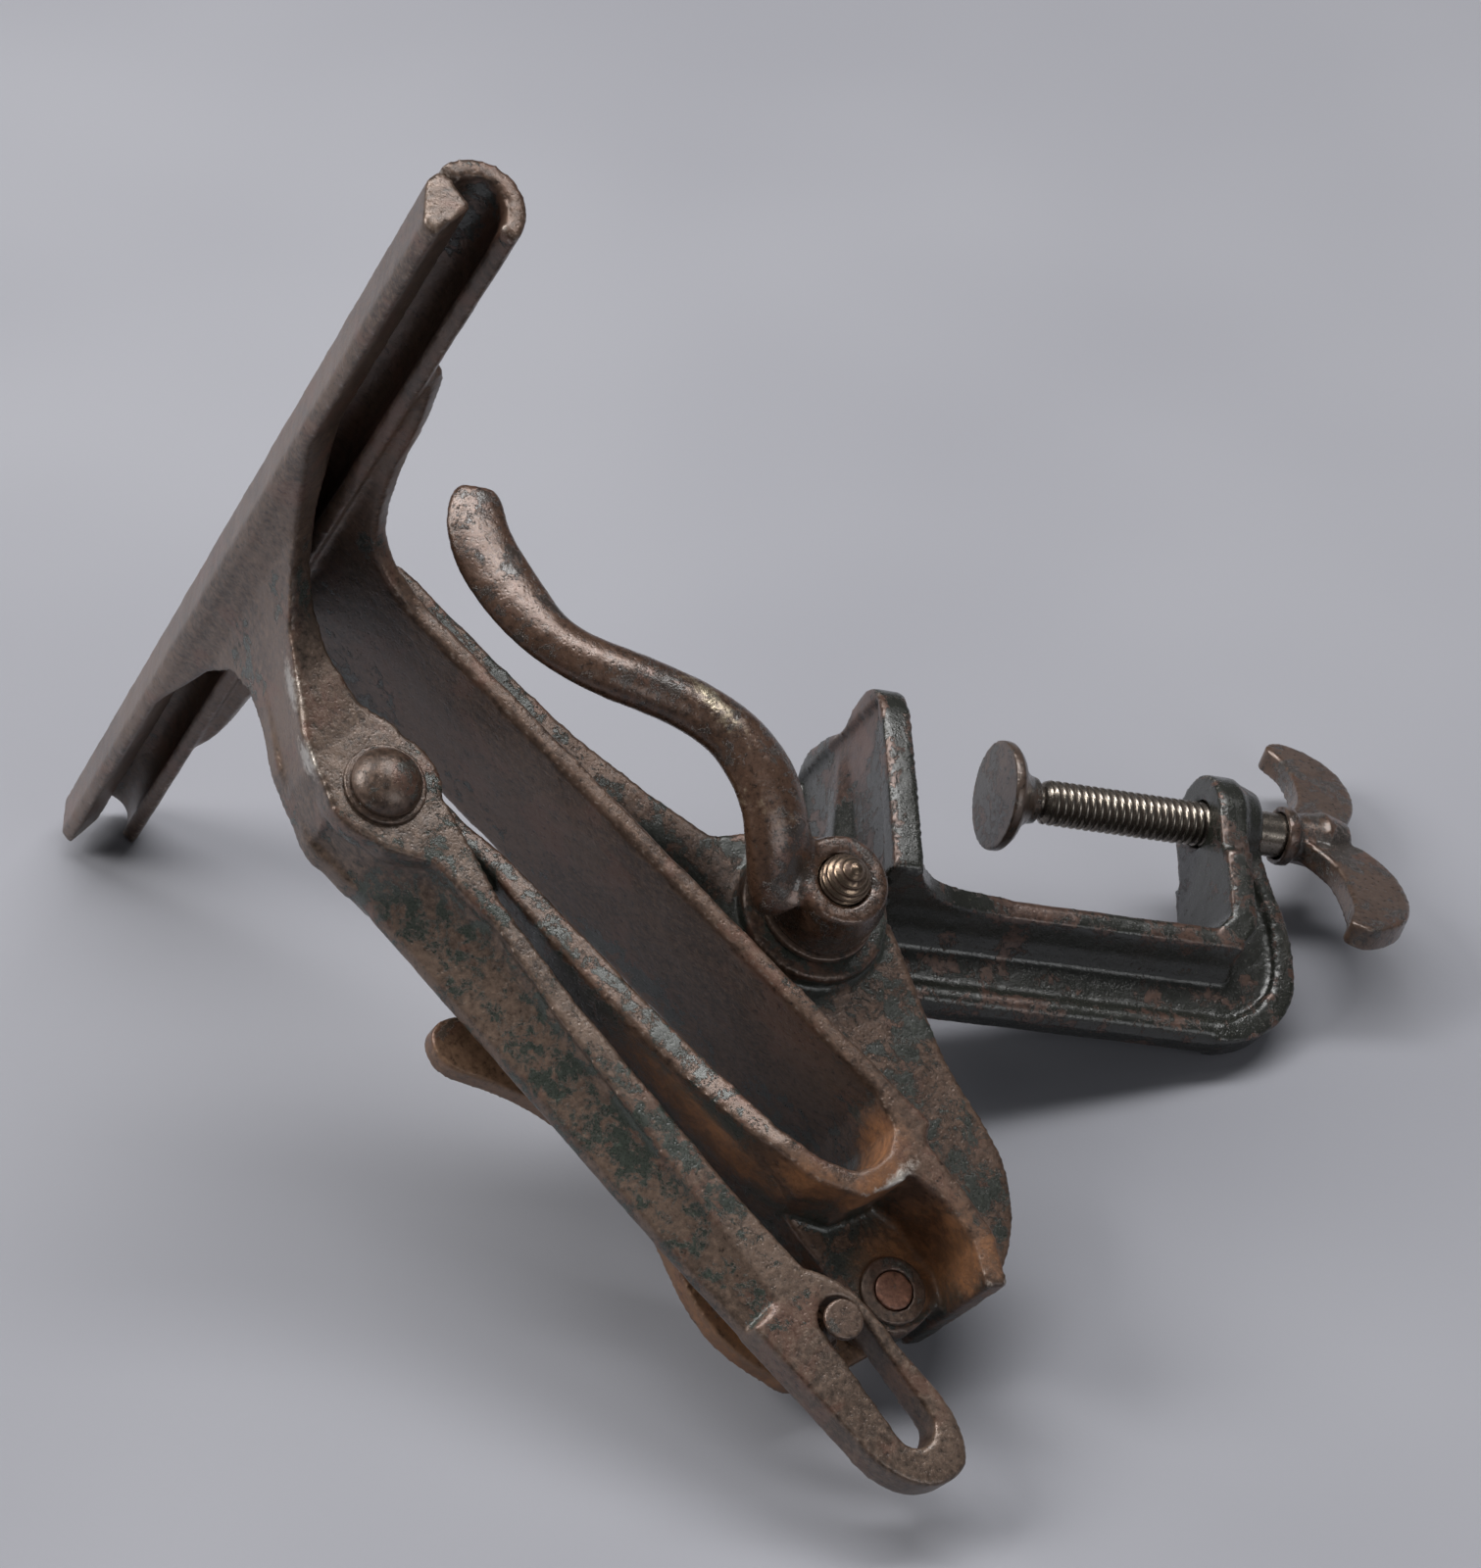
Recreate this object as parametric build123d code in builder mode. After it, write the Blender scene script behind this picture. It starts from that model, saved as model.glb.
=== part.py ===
"""Bench saw vise: a cast frame with a fixed jaw and a deep throat, a pivoted front jaw closed by a
cam lever, and a swivelling C-clamp with a wing screw.

Every piece is drawn upright: X runs along the jaws, Y from the front jaw to the back, Z up, with the
jaws meeting at Y = 0 and Z = 0 under the throat. Each piece is then laid down on its side, as the
vise lies on a table, by one resting rotation.
"""
import os
from math import atan2, cos, degrees, hypot, radians, sin

from build123d import *

# ---------------------------------------------------------------- driving dimensions, millimetres
JAW_LENGTH = 254.0           # ten-inch jaws
JAW_TOP = 169.7              # height of the jaw lips over the throat's underside
JAW_MID = 161.7              # centre height of the fixed jaw's half-round channel
CHANNEL_OUTER = 8.3
CHANNEL_INNER = 5.0

FLANGE_HALF = 19.4           # half width of the frame's U-shaped flange
BLADE_FACE = 2.4             # front face of the rear leg
FLANGE_BACK = 6.2
THROAT_FLOOR = 5.5
RIB_HALF = 3.0               # half thickness of the rib behind the flange

JAW_PIVOT = (-20.8, 114.4)   # Y, Z of the rivet the front jaw rocks on
EAR_OUTER = 10.5
EAR_INNER = 5.3
EAR_RADIUS = 11.0
LUG_HALF = 5.0
JAW_RIVET_RADIUS = 4.0
LEVER_RIVET_RADIUS = 3.6
PIN_RADIUS = 3.4
PIN_NECK = 2.0               # the pin is turned down inside the slot
PIN_HEAD = 3.7

LEVER_PIVOT = (-13.8, -13.5)
CRANK_PIN = (-30.2, -9.4)
TAIL_INNER = 2.5             # inner face of the slotted tail plate
SLOT_TOP = (-30.0, -8.6)
SLOT_FOOT = (-34.0, -31.4)
SLOT_WIDTH = 7.6
SLOT_LENGTH = hypot(SLOT_TOP[0] - SLOT_FOOT[0], SLOT_TOP[1] - SLOT_FOOT[1])
SLOT_LEAN = degrees(atan2(SLOT_TOP[1] - SLOT_FOOT[1], SLOT_TOP[0] - SLOT_FOOT[0]))
LEVER_OUTER = -16.5
LEVER_INNER = -11.4
BOSS_RADIUS = 7.8
BOSS_NEAR = 0.9
BOSS_FAR = -11.0

STUD_AXIS = (28.4, 45.2)     # Y, Z of the clamp's swivel
SWIVEL_BOSS_RADIUS = 14.5
SWIVEL_BOSS_HALF = 6.0
STUD_RADIUS = 5.0

CLAMP_TILT = 42.5            # lean of the clamp about the swivel, degrees
CLAMP_X = -19.0              # mid-plane of the clamp
SCREW_OFFSET = 40.0          # from the swivel axis to the screw axis
SCREW_RADIUS = 4.75          # 3/8 in screw
SCREW_PITCH = 1.6
BENCH_FACE = -21.0           # bench face of the top plate, along the screw from the swivel axis
PAD_FACE = -49.5
PAD_RADIUS = 11.0
PLATE_THICK = 4.6
PLATE_FAR = 25.0             # half widths of the bench plate, to the ear side and the handle side
PLATE_NEAR = 28.0
FLARE_NEAR = 27.2            # half width of the flange where it meets the plate, handle side
WING_THICK = 5.2
WING_TURN = 56.0
LUG_TOP = -94.5              # inner face of the screw lug
LUG_FOOT = -105.5
CLAMP_FOOT = -111.8

RUNNING = 0.06               # radial clearance of a pin in its bore

TIPPED_OVER = 59.178         # degrees the upright vise tips over about Y to lie on its left side
ROLLED_BACK = 4.605          # degrees it then rolls onto the clamp, about X
SEAT = (84.456, -62.220, 30.370)   # brings the middle of the resting footprint to the origin

# ---------------------------------------------------------------- planes
side = Plane.YZ


def side_at(x):
    """The side view's plane at a distance x along the jaws."""
    return Plane.YZ.offset(x)


def clamp_plane(x=0.0):
    """The side view leaned with the clamp: local x crosses it, local y runs up its screw."""
    lean = radians(CLAMP_TILT)
    return Plane(origin=(x, *STUD_AXIS), x_dir=(0, cos(lean), sin(lean)), z_dir=(1, 0, 0))


def screw_plane(along):
    """A plane across the screw axis that faces down it: local y points away from the spine."""
    home = clamp_plane(CLAMP_X)
    return Plane(
        origin=home.from_local_coords((SCREW_OFFSET, along, 0)),
        x_dir=(-1, 0, 0),
        z_dir=-home.y_dir,
    )


def slope(start, end, height):
    """The value at a height on the straight line from start to end, each (value, height)."""
    share = (height - start[1]) / (end[1] - start[1])
    return start[0] + share * (end[0] - start[0])


# ---------------------------------------------------------------- frame casting
with BuildPart() as frame_casting:
    # fixed jaw: a half-round channel, open to the front
    with BuildSketch(side_at(-JAW_LENGTH / 2)):
        with Locations((0, JAW_MID)):
            Circle(CHANNEL_OUTER)
            Circle(CHANNEL_INNER, mode=Mode.SUBTRACT)
        with Locations((-CHANNEL_OUTER, JAW_MID)):
            Rectangle(2 * CHANNEL_OUTER, 3 * CHANNEL_OUTER, mode=Mode.SUBTRACT)
    extrude(amount=JAW_LENGTH)

    # rear leg, throat and front leg: one U-shaped flange
    throat_mid = -6.4
    with BuildSketch(side_at(-FLANGE_HALF)):
        with BuildLine():
            Polyline(
                (BLADE_FACE, 157), (BLADE_FACE, 14), (-0.2, 7.6), (-4.0, THROAT_FLOOR),
                (-8.0, THROAT_FLOOR), (-12.0, 7.6), (-15.0, 13.5), (-16.4, 22),
                (-14.6, 40), (-13.4, 60), (-11.2, 92), (-11.0, 106), (-14.2, 106), (-15.0, 96),
                (-17.0, 84), (-18.4, 72), (-19.2, 60), (-20.2, 40), (-20.6, 24), (-18.8, 11), (-14.2, 3),
                (-6.4, 0), (0, 0.6), (FLANGE_BACK, 3.5), (FLANGE_BACK, 157), (BLADE_FACE, 157),
            )
        make_face()
    extrude(amount=2 * FLANGE_HALF)

    # the front leg narrows upwards to the pivot lug
    with BuildSketch(Plane.XZ.offset(8)):
        with BuildLine():
            Polyline(
                (LUG_HALF, 130), (LUG_HALF, 100), (7.4, 91), (9.4, 76), (10.8, 62), (13.2, 42),
                (FLANGE_HALF, 20), (FLANGE_HALF, 18),
                (60, 18), (60, 130), (LUG_HALF, 130),
            )
        make_face()
        mirror(about=Plane.YZ)
    extrude(amount=20, mode=Mode.SUBTRACT)
    with BuildSketch(side_at(-LUG_HALF)):
        with Locations(JAW_PIVOT):
            Circle(7.8)
        with BuildLine():
            Polyline(
                (-13.6, 117), (-11.4, 108), (-11.4, 88), (-17.4, 88), (-27.6, 110.6), (-13.6, 117)
            )
        make_face()
    extrude(amount=2 * LUG_HALF)

    # apron: a wide curved wall under the throat
    with BuildSketch(side_at(-FLANGE_HALF)):
        with BuildLine():
            Polyline(
                (3.0, 2.5), (-4.4, 1.0), (-3.2, -8), (-4.6, -16), (-9.4, -23.6),
                (-6.0, -26.0), (-0.5, -18), (1.5, -8), (3.0, 2.5),
            )
        make_face()
    extrude(amount=2 * FLANGE_HALF)

    # rib behind the flange, widening to the swivel head and the rounded foot
    with BuildSketch(side_at(-RIB_HALF)):
        with BuildLine():
            rib = Polyline(
                (4.5, 158), (8.3, 160), (13.0, 152), (18.0, 143), (18.2, 120), (19.0, 100),
                (21.8, 82), (25.0, 68), (40.0, 58), (40.0, 34),
            )
            foot = Spline(
                (40.0, 34), (33.0, 20), (25.6, 3), (22.0, -10), (14.0, -20.5), (2.0, -26.0),
            )
            Polyline((2.0, -26.0), (-6.0, -25.6), (-4.0, -10), (-2.0, 2), (4.5, 4), (4.5, 158))
        make_face()
    extrude(amount=2 * RIB_HALF)
    with BuildSketch(side_at(-SWIVEL_BOSS_HALF)):
        with Locations(STUD_AXIS):
            Circle(SWIVEL_BOSS_RADIUS)
    extrude(amount=2 * SWIVEL_BOSS_HALF)
    with BuildSketch(side_at(-RIB_HALF - 1)):
        with Locations((STUD_AXIS[0] + 17.5, STUD_AXIS[1] + 12.5)):
            Circle(10.5)
        with Locations((STUD_AXIS[0] + 17.8, STUD_AXIS[1] - 7.5)):
            Circle(8.0)
    extrude(amount=2 * RIB_HALF + 2, mode=Mode.SUBTRACT)

    # lever lug between the apron and the throat
    with BuildSketch(side_at(BOSS_FAR)):
        with Locations(LEVER_PIVOT):
            Circle(BOSS_RADIUS)
        with BuildLine():
            Polyline(
                (LEVER_PIVOT[0], -21.3), (-21.4, -12.0), (-18.8, 10.0), (-6.0, 4.0), (-2.0, -5.7),
                (-2.0, -21.3), (LEVER_PIVOT[0], -21.3),
            )
        make_face()
    extrude(amount=BOSS_NEAR - BOSS_FAR)

    # gussets that spread the rear leg into the fixed jaw
    with BuildSketch(Plane.XZ.offset(-BLADE_FACE)):
        with BuildLine():
            under = Spline(
                (FLANGE_HALF, 130), (20.6, 138), (24.6, 144.2), (34.0, 148.2), (52.0, 150.6), (78.0, 153.4),
            )
            Polyline(under @ 1, (78.0, 158), (0, 158), (0, 130), under @ 0)
        make_face()
        mirror(about=Plane.YZ)
    extrude(amount=-(FLANGE_BACK - BLADE_FACE))

    # bores
    with BuildSketch(side_at(-40)):
        with Locations(JAW_PIVOT):
            Circle(JAW_RIVET_RADIUS)
        with Locations(LEVER_PIVOT):
            Circle(3.6)
        with Locations(STUD_AXIS):
            Circle(STUD_RADIUS + RUNNING)
    extrude(amount=80, mode=Mode.SUBTRACT)

# ---------------------------------------------------------------- moving front jaw
NECK = [  # height, half width, front face, rear face
    (163.0, 60.0, -9.6, -1.2), (160.0, 46.0, -9.4, -2.0), (156.5, 31.0, -9.0, -3.4),
    (152.0, 20.5, -10.8, -5.4), (146.0, 13.8, -14.6, -7.8), (138.6, 12.0, -19.4, -11.0),
    (130.0, 11.0, -25.0, -12.5), (126.0, 10.6, -27.8, -14.0), (117.0, 10.5, -31.0, -21.0),
]
ARM = [  # height, left edge X, left edge Y, crest Y, rear Y, depth of the cove in the face
    (118.0, -10.5, -30.4, -31.0, -19.0, 0.3), (108.0, -10.5, -30.8, -29.4, -17.6, 0.5),
    (98.0, -9.2, -32.4, -23.8, -17.6, 1.2), (85.0, -7.5, -34.1, -24.3, -20.2, 2.6),
    (63.4, -5.0, -36.5, -28.6, -23.4, 2.8), (44.0, -2.7, -38.8, -31.2, -25.1, 2.6),
    (22.0, 0.0, -41.6, -34.2, -27.2, 1.8), (0.0, 2.1, -43.4, -36.6, -28.0, 0.9),
    (-14.0, 2.1, -43.7, -38.2, -27.6, 0.5),
]

with BuildPart() as moving_jaw:
    # jaw bar of triangular section
    with BuildSketch(side_at(-JAW_LENGTH / 2)):
        with BuildLine():
            Polyline(
                (-0.15, JAW_TOP), (-3.4, JAW_TOP), (-9.4, 164.8), (-9.9, 162.0),
                (-1.0, 162.0), (-0.15, 167.0), (-0.15, JAW_TOP),
            )
        make_face()
    extrude(amount=JAW_LENGTH)

    # neck: spreads into the jaw above and narrows to the pivot
    for height, half, front, rear in NECK:
        with BuildSketch(Plane.XY.offset(height)):
            with Locations((0, (front + rear) / 2)):
                Rectangle(2 * half, rear - front)
    loft(ruled=True)

    # arm: a front edge that leans outward, a coved face and a flat plate behind its crest
    for height, left, front, crest, rear, depth in ARM:
        inner = slope((EAR_INNER, 118), (TAIL_INNER, 85), min(max(height, 85), 118))
        lip = (left + 4.6, front + 0.3)
        cove = [
            (lip[0] + share * (EAR_OUTER - lip[0]), lip[1] + share * (crest - lip[1]) + dip * depth)
            for share, dip in [(0.30, 0.7), (0.60, 1.0), (0.84, 0.75)]
        ]
        with BuildSketch(Plane.XY.offset(height)):
            with BuildLine():
                Polyline(
                    (left, front + 5.5), (left, front + 1.2), (left + 1.6, front), lip, *cove,
                    (EAR_OUTER, crest), (EAR_OUTER, rear), (inner, rear), (left, front + 5.5),
                )
            make_face()
    loft(ruled=True)

    # ears on both sides of the lug
    with BuildSketch(side_at(EAR_INNER)):
        with Locations(JAW_PIVOT):
            Circle(EAR_RADIUS)
        with BuildLine():
            Polyline(
                (-31.0, 118), (-25.4, 131), (-16.0, 144), (-12.4, 143), (-13.4, 131),
                (-10.4, 121), (-14.6, 103), (-20.2, 85), (-24.6, 85), (-24.6, 98),
                (-29.8, 106), (-31.0, 118),
            )
        make_face()
    extrude(amount=EAR_OUTER - EAR_INNER)
    with BuildSketch(side_at(-EAR_OUTER)):
        with Locations(JAW_PIVOT):
            Circle(EAR_RADIUS)
        with BuildLine():
            Polyline(
                (-31.0, 118), (-25.4, 131), (-16.0, 144), (-12.4, 143), (-13.4, 131),
                (-10.4, 121), (-20.0, 104), (-31.0, 100), (-31.6, 108), (-31.0, 118),
            )
        make_face()
    extrude(amount=EAR_OUTER - EAR_INNER)

    # slotted tail
    with BuildSketch(side_at(TAIL_INNER)):
        with BuildLine():
            Polyline((-27.4, 1.0), (-43.3, 1.0), (-44.2, -26.0))
            Spline(
                (-44.2, -26.0), (-43.4, -35.0), (-38.6, -41.4), (-32.6, -42.6), (-28.2, -38.2),
                (-25.8, -30.0), (-25.2, -20.0), (-24.0, -10.0), (-25.0, -4.0), (-27.4, 1.0),
            )
        make_face()
    extrude(amount=EAR_OUTER - TAIL_INNER)
    with BuildSketch(side_at(TAIL_INNER - 5)):
        with Locations(((SLOT_TOP[0] + SLOT_FOOT[0]) / 2, (SLOT_TOP[1] + SLOT_FOOT[1]) / 2)):
            SlotCenterToCenter(SLOT_LENGTH, SLOT_WIDTH, rotation=SLOT_LEAN)
    extrude(amount=EAR_OUTER - TAIL_INNER + 10, mode=Mode.SUBTRACT)

    # bore for the rivet, and room inside for the lug
    with BuildSketch(side_at(-40)):
        with Locations(JAW_PIVOT):
            Circle(JAW_RIVET_RADIUS + RUNNING)
    extrude(amount=80, mode=Mode.SUBTRACT)
    with BuildSketch(side_at(-EAR_INNER)):
        with Locations(JAW_PIVOT):
            Circle(8.5)
        with BuildLine():
            Polyline(
                (JAW_PIVOT[0], 122.9), (-8, 124), (-8, 84), (-18.8, 84), (-28.5, 110.8),
                (JAW_PIVOT[0], 122.9),
            )
        make_face()
    extrude(amount=2 * EAR_INNER, mode=Mode.SUBTRACT)

# ---------------------------------------------------------------- cam lever
with BuildPart() as cam_lever:
    with BuildSketch(side_at(LEVER_OUTER)):
        with Locations(LEVER_PIVOT):
            Circle(7.4)
        with Locations(CRANK_PIN):
            Circle(6.1)
        with BuildLine():
            Polyline((-16.0, -20.6), (-33.0, -15.6))
            Spline(
                (-33.0, -15.6), (-37.6, -5.0), (-38.3, 5.0), (-35.6, 15.0), (-31.0, 27.0),
                (-29.8, 42.0), (-32.0, 55.0), (-37.0, 66.0), (-39.6, 73.0), (-36.6, 77.8),
                (-31.4, 76.6), (-26.4, 67.0), (-23.2, 52.0), (-23.4, 36.0), (-24.0, 20.0),
                (-21.6, 4.0), (-11.0, -6.8),
            )
            Line((-11.0, -6.8), (-16.0, -20.6))
        make_face()
    extrude(amount=LEVER_INNER - LEVER_OUTER)
    with BuildSketch(side_at(LEVER_OUTER - 5)):
        with Locations(LEVER_PIVOT):
            Circle(LEVER_RIVET_RADIUS + RUNNING)
        with Locations(CRANK_PIN):
            Circle(PIN_RADIUS)
    extrude(amount=20, mode=Mode.SUBTRACT)

# ---------------------------------------------------------------- rivets, pin and washers
with BuildPart() as lever_washer:
    with BuildSketch(side_at(BOSS_NEAR + 0.05)):
        with Locations(LEVER_PIVOT):
            Circle(6.3)
            Circle(LEVER_RIVET_RADIUS + 0.2, mode=Mode.SUBTRACT)
    extrude(amount=1.1)


def shaft(center, runs):
    """Coaxial cylinders along X: each run is (from X, to X, radius)."""
    for start, end, radius in runs:
        with Locations(Location((start, *center), (0, 90, 0))):
            Cylinder(radius, end - start, align=(Align.CENTER, Align.CENTER, Align.MIN))


def dome(base, radius, height):
    """Half outline, X and radius, of a domed head on the plane X = base; height may point to -X."""
    return [
        (base, 0), (base, radius), (base + 0.2 * height, radius), (base + 0.55 * height, 0.86 * radius),
        (base + 0.85 * height, 0.55 * radius), (base + height, 0),
    ]


def head(center, outline):
    """A turned head: a half outline of X and radius, revolved about the rivet's axis."""
    with BuildPart() as turned:
        with BuildSketch(Plane(origin=(0, *center), x_dir=(1, 0, 0), z_dir=(0, -1, 0))):
            with BuildLine():
                Polyline(outline[0], outline[1], outline[2])
                Spline(*outline[2:])
                Line(outline[-1], outline[0])
            make_face()
        revolve(axis=Axis((0, *center), (1, 0, 0)))
    return turned.part


lever_head = head(LEVER_PIVOT, dome(LEVER_OUTER - 0.2, 6.4, -2.8))
jaw_head = head(JAW_PIVOT, dome(EAR_OUTER + 0.95, 6.6, 4.4))
jaw_tail = head(JAW_PIVOT, dome(-EAR_OUTER - 0.15, 6.2, -2.4))

with BuildPart() as lever_rivet:
    shaft(LEVER_PIVOT, [(LEVER_OUTER - 0.2, BOSS_NEAR + 1.3, LEVER_RIVET_RADIUS)])
    add(lever_head)

with BuildPart() as crank_pin:
    shaft(CRANK_PIN, [
        (LEVER_OUTER - 0.8, BOSS_NEAR - 0.2, PIN_RADIUS),
        (BOSS_NEAR - 0.2, EAR_OUTER + 0.35, PIN_NECK),
        (EAR_OUTER + 0.35, EAR_OUTER + 1.6, PIN_HEAD),
    ])

with BuildPart() as jaw_rivet:
    shaft(JAW_PIVOT, [(-EAR_OUTER - 0.15, EAR_OUTER + 0.95, JAW_RIVET_RADIUS)])
    add(jaw_head)
    add(jaw_tail)

with BuildPart() as jaw_rivet_washer:
    with BuildSketch(side_at(EAR_OUTER + 0.1)):
        with Locations(JAW_PIVOT):
            Circle(7.7)
            Circle(JAW_RIVET_RADIUS + 0.2, mode=Mode.SUBTRACT)
    extrude(amount=0.8)

# ---------------------------------------------------------------- swivel: stud, washer, handle nut
EAR_NEAR = -SWIVEL_BOSS_HALF - 0.3   # clamp ear, inner and outer faces
EAR_FAR = -30.0
WASHER_FACE = SWIVEL_BOSS_HALF + 1.7
HUB_RADIUS = 10.3
NUT_FACE = 20.0

with BuildPart() as swivel_stud:
    shaft(STUD_AXIS, [(EAR_FAR - 0.1, 22.4, STUD_RADIUS)])
    with BuildSketch(side_at(EAR_FAR - 0.1)):
        with Locations(STUD_AXIS):
            RectangleRounded(15, 15, 2, rotation=CLAMP_TILT)
    extrude(amount=-6.5)

with BuildPart() as stud_washer:
    with BuildSketch(side_at(SWIVEL_BOSS_HALF + 0.1)):
        with Locations(STUD_AXIS):
            Circle(HUB_RADIUS + 0.9)
            Circle(STUD_RADIUS + 0.25, mode=Mode.SUBTRACT)
    extrude(amount=1.5)

HANDLE = [  # Y, Z, X of the centre line, half width, half thickness
    (23.6, 50.0, 14.5, 8.2, 5.0), (23.0, 57.0, 18.8, 7.2, 4.6), (26.4, 64.0, 23.2, 6.4, 4.0),
    (29.0, 71.0, 24.6, 6.3, 4.0), (29.4, 79.5, 25.2, 5.6, 4.0), (26.6, 89.6, 25.2, 5.3, 3.9),
    (21.0, 100.6, 25.0, 5.3, 3.7), (17.0, 111.4, 24.6, 5.2, 3.2), (17.2, 121.6, 24.2, 6.2, 2.7),
    (19.6, 131.6, 23.8, 6.5, 2.2), (23.9, 138.6, 23.6, 5.8, 1.8), (28.4, 142.6, 23.5, 3.4, 1.2),
]

with BuildPart() as handle_nut:
    with BuildSketch(side_at(WASHER_FACE)):
        with Locations(STUD_AXIS):
            Circle(HUB_RADIUS)
    extrude(amount=7.0)
    with BuildSketch(side_at(WASHER_FACE + 7.0)):
        with Locations(STUD_AXIS):
            Circle(HUB_RADIUS)
    extrude(amount=NUT_FACE - WASHER_FACE - 7.0, taper=18)
    for index, (y, z, x, wide, thick) in enumerate(HANDLE):
        before = HANDLE[max(index - 1, 0)]
        after = HANDLE[min(index + 1, len(HANDLE) - 1)]
        along = Vector(after[2] - before[2], after[0] - before[0], after[1] - before[1])
        across = Vector(1, 0, 0).cross(along)
        with BuildSketch(Plane(origin=(x, y, z), x_dir=across, z_dir=along)):
            Ellipse(wide, thick)
    loft()
    with BuildSketch(side_at(WASHER_FACE - 1)):
        with Locations(STUD_AXIS):
            Circle(STUD_RADIUS + RUNNING)
    extrude(amount=20, mode=Mode.SUBTRACT)

# ---------------------------------------------------------------- clamp bracket
SPINE = [  # half outline across the spine: X from its mid-plane, distance from the swivel axis
    (0, 13.0), (11.0, 13.0), (12.0, 12.0), (12.0, 8.6), (6.4, 6.6), (3.0, 4.2),
    (2.8, -2.6), (4.2, -4.2), (4.2, -6.6), (2.6, -8.2), (0, -8.2),
]
SPINE_TOP = -15.0
CORNER = 16.0

with BuildPart() as clamp_bracket:
    # swivel ear
    with BuildSketch(clamp_plane(EAR_NEAR)):
        Circle(12.5)
        with BuildLine():
            Polyline((-8.2, 0), (-8.2, -20), (12.5, -20), (12.5, 0), (-8.2, 0))
        make_face()
    extrude(amount=EAR_FAR - EAR_NEAR)
    # spine: an I-section, wide towards the screw
    spine_start = clamp_plane(CLAMP_X)
    with BuildSketch(Plane(
        origin=spine_start.from_local_coords((0, SPINE_TOP, 0)), x_dir=(-1, 0, 0), z_dir=-spine_start.y_dir,
    )):
        with BuildLine():
            Polyline(*SPINE)
            Line(SPINE[-1], SPINE[0])
        make_face()
        mirror(about=Plane.YZ)
    extrude(amount=SPINE_TOP - LUG_TOP + 2)
    # outer corner and screw arm: a web with a wide inner flange and a bead round the outside
    web = clamp_plane(CLAMP_X - 3.0)
    outline = [(-8.2, LUG_TOP + 1), (-6.6, -101.5), (-2.6, -107.4), (3.6, -111.2), (11.0, CLAMP_FOOT),
               (19.0, -110.6), (27.0, -108.0), (34.0, -106.2), (40.0, LUG_FOOT)]
    with BuildSketch(web):
        with BuildLine():
            Spline(*outline)
            Polyline(outline[-1], (40.0, LUG_TOP), (16.0, LUG_TOP), (13.0, -92.0), (-8.2, LUG_TOP + 1))
        make_face()
    extrude(amount=6.0)
    with BuildSketch(clamp_plane(CLAMP_X - 4.4)):
        with BuildLine():
            Spline(*outline)
            Polyline(outline[-1], (36.0, -102.0), (27.0, -104.0))
            Spline((27.0, -104.0), (11.0, -107.4), (2.6, -105.0), (-2.6, -98.0), (-4.2, LUG_TOP + 1))
            Line((-4.2, LUG_TOP + 1), outline[0])
        make_face()
    extrude(amount=8.8)
    with BuildSketch(clamp_plane(CLAMP_X - 12.0)):
        with BuildLine():
            Polyline((30, LUG_TOP), (16.0, LUG_TOP), (13.0, -91.5), (8.6, -91.5), (9.6, -97.0),
                     (14.0, LUG_TOP - 5.4), (30, LUG_TOP - 5.4), (30, LUG_TOP))
        make_face()
    extrude(amount=24.0)
    # screw lug, tapering to the boss that the wing handle meets
    with BuildSketch(screw_plane(LUG_TOP)):
        Circle(10.2)
        with Locations((0, -7.0)):
            Rectangle(20.4, 14.0)
    extrude(amount=6.0)
    with BuildSketch(screw_plane(LUG_TOP - 6.0)):
        Circle(9.6)
    extrude(amount=LUG_TOP - 6.0 - LUG_FOOT, taper=18)
    # bench plate with two rounded lobes, wider on the handle side, and a raised rim behind it
    for back, rim in [(BENCH_FACE + PLATE_THICK, 0), (BENCH_FACE + PLATE_THICK + 1.4, 6.0)]:
        with BuildSketch(screw_plane(back)):
            with BuildLine():
                lobes = Spline(
                    (PLATE_FAR, -31.0), (24.4, -23.6), (23.1, -13.0), (21.7, -2.2), (20.4, 4.0),
                    (17.6, 7.8), (12.5, 9.6), (6.0, 9.3), (-1.0, 7.8), (-5.4, 7.0), (-9.0, 8.8),
                    (-13.5, 10.0), (-18.5, 9.7), (-22.4, 7.2), (-24.6, 2.4), (-25.6, -4.0),
                    (-26.8, -15.0), (-27.6, -24.0), (-PLATE_NEAR, -31.0),
                )
                Line(lobes @ 1, lobes @ 0)
            make_face()
            if rim:
                with Locations((-1.5, -16.0)):
                    Rectangle(PLATE_FAR + PLATE_NEAR - 2 * rim, 44.0, mode=Mode.SUBTRACT)
        extrude(amount=back - BENCH_FACE)
    # low rib behind the bench plate, fading towards the lobes
    rib_root = clamp_plane(CLAMP_X)
    for across, base, top, crest in [(2.0, 9.5, 4.0, -8.0), (24.0, 7.5, 2.4, -13.2), (45.0, 5.0, 1.2, -16.2)]:
        with BuildSketch(Plane(
            origin=rib_root.from_local_coords((across, 0, 0)), x_dir=(1, 0, 0), z_dir=rib_root.x_dir,
        )):
            with BuildLine():
                Polyline((-base, 18.0), (-base, 16.6), (-top, -crest), (top, -crest), (base, 16.6),
                         (base, 18.0), (-base, 18.0))
            make_face()
    loft(ruled=True)
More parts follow.
